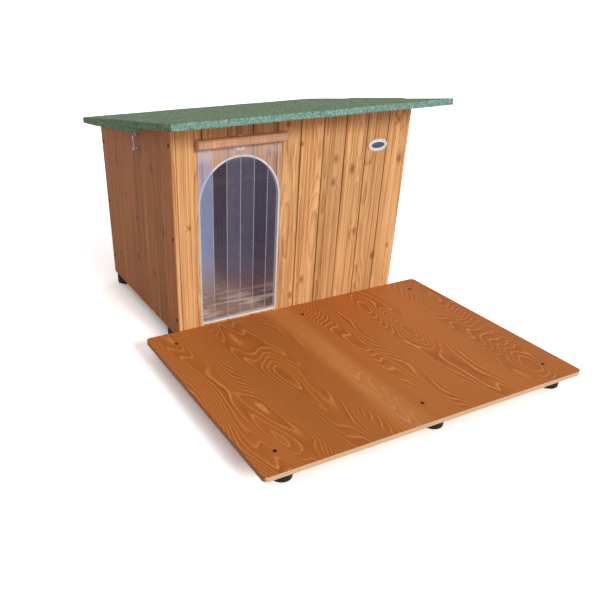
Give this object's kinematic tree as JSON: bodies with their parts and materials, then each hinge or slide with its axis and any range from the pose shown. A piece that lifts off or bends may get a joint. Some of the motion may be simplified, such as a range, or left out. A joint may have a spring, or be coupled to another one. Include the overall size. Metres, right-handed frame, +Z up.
{
  "type": "dog house",
  "caption": "Lean-to timber kennel for a giant dog, with a hinged felted roof, an arched doorway with a slit vinyl curtain and a plywood terrace.",
  "frame": {"origin": "on the floor under the middle of the whole object: middle of the width, and middle of the depth from the terrace's front edge to the roof's rear edge", "axes": "+X to the right along the front wall, +Y from the front to the back, +Z up"},
  "size_m": [1.496, 2.0266, 1.0088],
  "materials": {
    "front_pine": "clear glaze on planed pine matchboard",
    "wall_pine": "brown glaze on planed pine matchboard",
    "frame_pine": "bare planed pine",
    "plywood": "orange-brown oil on birch plywood",
    "white_edging": "white moulded edging",
    "clear_curtain": "clear flexible vinyl",
    "green_felt": "green mineral-faced roofing felt",
    "black_feet": "black moulded feet",
    "black_screw": "black wood screws",
    "zinc": "bright zinc plate",
    "blank_plate": "plain white plate"
  },
  "bodies": {
    "kennel": {"front_boards": "front_pine", "curtain_batten": "front_pine", "left_boards": "wall_pine", "right_boards": "wall_pine", "rear_boards": "wall_pine", "corner_post_front_left": "frame_pine", "corner_post_front_right": "frame_pine", "corner_post_rear_left": "frame_pine", "corner_post_rear_right": "frame_pine", "front_top_rail": "frame_pine", "front_mid_rail": "frame_pine", "rear_top_rail": "frame_pine", "rear_mid_rail": "frame_pine", "door_stud": "frame_pine", "left_mid_rail": "frame_pine", "left_top_rail": "frame_pine", "right_mid_rail": "frame_pine", "right_top_rail": "frame_pine", "floor_boards": "frame_pine", "floor_bearer_front": "frame_pine", "floor_bearer_middle": "frame_pine", "floor_bearer_rear": "frame_pine", "platform_bearer_front": "frame_pine", "platform_bearer_rear": "frame_pine", "platform_board": "plywood", "door_trim": "white_edging", "round_vent": "white_edging", "curtain_header": "clear_curtain", "house_feet": "black_feet", "platform_feet": "black_feet", "corner_screws": "black_screw", "batten_screws": "black_screw", "platform_screws": "black_screw", "house_feet_screws": "black_screw", "platform_feet_screws": "black_screw", "wall_eyes": "zinc", "hinge_wall_leaves": "zinc", "hinge_pins": "zinc", "hinge_wall_screws": "zinc", "oval_plate": "blank_plate"},
    "roof": {"roof_deck": "plywood", "roof_felt_front": "green_felt", "roof_felt_rear": "green_felt", "roof_batten_front": "frame_pine", "roof_batten_rear": "frame_pine", "hinge_roof_leaves": "zinc", "hinge_roof_screws": "zinc", "roof_eyes": "zinc"},
    "hook_left": {"hook_left": "zinc"},
    "hook_right": {"hook_right": "zinc"},
    "strip_1": {"curtain_strip_1": "clear_curtain"},
    "strip_2": {"curtain_strip_2": "clear_curtain"},
    "strip_3": {"curtain_strip_3": "clear_curtain"},
    "strip_4": {"curtain_strip_4": "clear_curtain"},
    "strip_5": {"curtain_strip_5": "clear_curtain"},
    "strip_6": {"curtain_strip_6": "clear_curtain"}
  },
  "joints": [
    {"name": "roof_hinge", "type": "hinge", "parent": "kennel", "child": "roof", "pos_m": [0, 0.95473, 0.82615], "axis": [-1, 0, 0], "range_deg": [0, 70]},
    {"name": "hook_left_swing", "type": "hinge", "parent": "roof", "child": "hook_left", "pos_m": [-0.607, 0.42241, 0.86643], "axis": [1, 0, 0], "range_deg": [-75, 75]},
    {"name": "hook_right_swing", "type": "hinge", "parent": "roof", "child": "hook_right", "pos_m": [0.607, 0.42241, 0.86643], "axis": [1, 0, 0], "range_deg": [-75, 75]},
    {"name": "strip_1_flap", "type": "hinge", "parent": "kennel", "child": "strip_1", "pos_m": [-0.44483, 0.04473, 0.8707], "axis": [-1, 0, 0], "range_deg": [0, 75]},
    {"name": "strip_2_flap", "type": "hinge", "parent": "kennel", "child": "strip_2", "pos_m": [-0.3805, 0.04473, 0.8707], "axis": [-1, 0, 0], "range_deg": [0, 75]},
    {"name": "strip_3_flap", "type": "hinge", "parent": "kennel", "child": "strip_3", "pos_m": [-0.31617, 0.04473, 0.8707], "axis": [-1, 0, 0], "range_deg": [0, 75]},
    {"name": "strip_4_flap", "type": "hinge", "parent": "kennel", "child": "strip_4", "pos_m": [-0.25183, 0.04473, 0.8707], "axis": [-1, 0, 0], "range_deg": [0, 75]},
    {"name": "strip_5_flap", "type": "hinge", "parent": "kennel", "child": "strip_5", "pos_m": [-0.1875, 0.04473, 0.8707], "axis": [-1, 0, 0], "range_deg": [0, 75]},
    {"name": "strip_6_flap", "type": "hinge", "parent": "kennel", "child": "strip_6", "pos_m": [-0.12317, 0.04473, 0.8707], "axis": [-1, 0, 0], "range_deg": [0, 75]}
  ]
}
